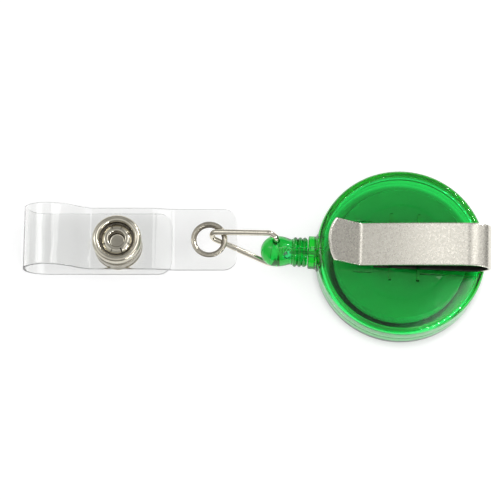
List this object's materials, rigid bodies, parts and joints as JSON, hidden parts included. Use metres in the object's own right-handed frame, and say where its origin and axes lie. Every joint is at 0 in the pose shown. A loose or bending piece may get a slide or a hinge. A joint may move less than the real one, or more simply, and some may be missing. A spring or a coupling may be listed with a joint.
{
  "type": "retractable badge reel",
  "caption": "Round translucent reel with a spring belt clip, a retracting cord, a wire hook and a clear snap strap that holds a badge.",
  "frame": {"origin": "on the spool's axis, in the plane of the case's flat front face", "axes": "+Z from the front face towards the belt clip, -X along the cord's way out"},
  "size_m": [0.0885, 0.032, 0.0132],
  "materials": {
    "green_plastic": "glossy translucent injection-moulded plastic",
    "white_plastic": "natural moulded plastic",
    "spring_steel": "satin nickel with a fine grain",
    "spring_strip": "blued rolled strip",
    "nickel": "polished warm nickel plate",
    "cord": "braided nylon",
    "clear_vinyl": "clear flexible vinyl"
  },
  "bodies": {
    "case": {"front_cover": "green_plastic", "back_cover": "green_plastic", "belt_clip_base": "spring_steel", "mainspring": "spring_strip"},
    "clip": {"belt_clip_leaf": "spring_steel"},
    "spool": {"spool": "white_plastic", "cord_winding": "cord"},
    "cord": {"cord_lead": "cord", "cord_knot": "cord"},
    "ferrule": {"cord_ferrule": "green_plastic"},
    "hook": {"hook_wire": "nickel"},
    "eyelet": {"eyelet_barrel": "nickel", "eyelet_washer": "nickel"},
    "strap": {"strap_upper": "clear_vinyl", "snap_ring": "nickel", "snap_stud": "nickel"},
    "flap": {"strap_flap": "clear_vinyl", "snap_socket": "nickel", "snap_spring": "spring_strip", "snap_cap": "nickel"}
  },
  "joints": [
    {"name": "clip_flex", "type": "hinge", "parent": "case", "child": "clip", "pos_m": [0.0166, 0.0007, 0.0103], "axis": [0, 1, 0], "range_deg": [0, 12], "stiffness_Nm_per_rad": 1.5},
    {"name": "spool_spin", "type": "hinge", "parent": "case", "child": "spool", "pos_m": [0, 0, 0.004], "axis": [0, 0, 1], "range_deg": [0, 4100], "deforming": ["mainspring"]},
    {"name": "cord_pull", "type": "slide", "parent": "case", "child": "cord", "axis": [-1, 0, 0], "range_m": [0, 0.8], "stiffness_N_per_m": 1, "springref_m": -0.8},
    {"name": "ferrule_twist", "type": "hinge", "parent": "cord", "child": "ferrule", "pos_m": [-0.0236, 0, 0.00415], "axis": [-1, 0, 0], "continuous": true},
    {"name": "hook_swing", "type": "hinge", "parent": "ferrule", "child": "hook", "pos_m": [-0.0236, 0, 0.00415], "axis": [0, 0.454, 0.891], "range_deg": [-50, 50]},
    {"name": "eyelet_tilt", "type": "hinge", "parent": "hook", "child": "eyelet", "pos_m": [-0.03472, 0.00237, 0.00429], "axis": [0.1809, 0.8763, -0.4465], "range_deg": [-12, 12]},
    {"name": "strap_turn", "type": "hinge", "parent": "eyelet", "child": "strap", "pos_m": [-0.03636, 0.00162, 0.0043], "axis": [0, 0, 1], "range_deg": [-60, 60]},
    {"name": "snap_open", "type": "hinge", "parent": "strap", "child": "flap", "pos_m": [-0.07158, -0.00001, 0.0049], "axis": [-0.0462, 0.9989, 0], "range_deg": [0, 110]}
  ],
  "couplings": [
    {"joint": "spool_spin", "follows": "cord_pull", "rad_per_m": 88.889}
  ]
}
